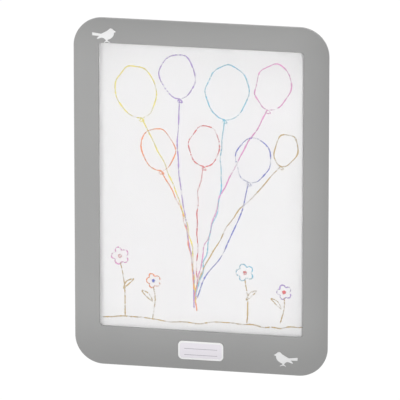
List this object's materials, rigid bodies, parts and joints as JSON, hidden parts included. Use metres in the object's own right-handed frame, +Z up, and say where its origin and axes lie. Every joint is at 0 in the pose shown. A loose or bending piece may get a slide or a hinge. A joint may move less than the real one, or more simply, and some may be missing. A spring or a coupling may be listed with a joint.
{
  "type": "childrens art frame",
  "caption": "Wall frame for a child's drawings: a flat moulded front with round corners and a clear window swings open over a shallow tray with a sprung board that stores the sheets.",
  "frame": {"origin": "middle of the tray's flat back face, which lies on the wall", "axes": "+X to the viewer's right, +Z up, +Y into the wall, so the front faces -Y"},
  "size_m": [0.2574, 0.0179, 0.358],
  "materials": {
    "front_plastic": "light grey moulded plastic, matte with a fine grain",
    "tray_plastic": "darker grey moulded plastic, matte",
    "label_plastic": "white, smooth, to write on",
    "bird_vinyl": "white, smooth",
    "clip_plastic": "white, satin",
    "pane_clear": "clear, polished",
    "drawing_paper": "white drawing paper with coloured crayon lines",
    "spare_paper": "white drawing paper, stacked",
    "board_hardboard": "brown hardboard, plain",
    "pin_steel": "bright drawn steel",
    "screw_steel": "zinc plated",
    "spring_steel": "blued strip, satin",
    "tab_steel": "zinc plated, satin",
    "plate_steel": "zinc plated, satin",
    "strike_steel": "zinc plated, satin",
    "magnet_metal": "nickel plated",
    "bumper_rubber": "matte black"
  },
  "bodies": {
    "tray": {"back_tray": "tray_plastic", "hinge_pin_lower": "pin_steel", "hinge_pin_upper": "pin_steel", "magnet_upper": "magnet_metal", "magnet_lower": "magnet_metal", "bumper_upper": "bumper_rubber", "bumper_lower": "bumper_rubber", "stop_screw_left_upper": "screw_steel", "stop_screw_right_upper": "screw_steel", "stop_screw_left_lower": "screw_steel", "stop_screw_right_lower": "screw_steel", "leaf_spring_left_upper": "spring_steel", "leaf_spring_right_upper": "spring_steel", "leaf_spring_left_lower": "spring_steel", "leaf_spring_right_lower": "spring_steel", "keyhole_plate_left": "plate_steel", "keyhole_plate_right": "plate_steel", "keyhole_screw_left_outer": "screw_steel", "keyhole_screw_left_inner": "screw_steel", "keyhole_screw_right_outer": "screw_steel", "keyhole_screw_right_inner": "screw_steel"},
    "board": {"art_board": "board_hardboard", "spare_sheets": "spare_paper", "drawing_sheet": "drawing_paper", "corner_clip_right_upper": "clip_plastic", "corner_clip_left_upper": "clip_plastic", "corner_clip_left_lower": "clip_plastic", "corner_clip_right_lower": "clip_plastic"},
    "door": {"front_frame": "front_plastic", "window_pane": "pane_clear", "label_plate": "label_plastic", "bird_upper": "bird_vinyl", "bird_lower": "bird_vinyl", "pane_tab_left_upper": "tab_steel", "pane_tab_left_lower": "tab_steel", "pane_tab_right_upper": "tab_steel", "pane_tab_right_lower": "tab_steel", "pane_tab_top": "tab_steel", "pane_tab_bottom": "tab_steel", "pane_screw_left_upper": "screw_steel", "pane_screw_left_lower": "screw_steel", "pane_screw_right_upper": "screw_steel", "pane_screw_right_lower": "screw_steel", "pane_screw_top": "screw_steel", "pane_screw_bottom": "screw_steel", "strike_upper": "strike_steel", "strike_lower": "strike_steel"}
  },
  "joints": [
    {"name": "front_swing", "type": "hinge", "parent": "tray", "child": "door", "pos_m": [-0.1256, -0.01125, 0], "axis": [0, 0, -1], "range_deg": [0, 170]},
    {"name": "board_press", "type": "slide", "parent": "tray", "child": "board", "axis": [0, 1, 0], "range_m": [0, 0.004], "stiffness_N_per_m": 1000, "springref_m": -0.003, "deforming": ["leaf_spring_left_upper", "leaf_spring_right_upper", "leaf_spring_left_lower", "leaf_spring_right_lower"]}
  ]
}
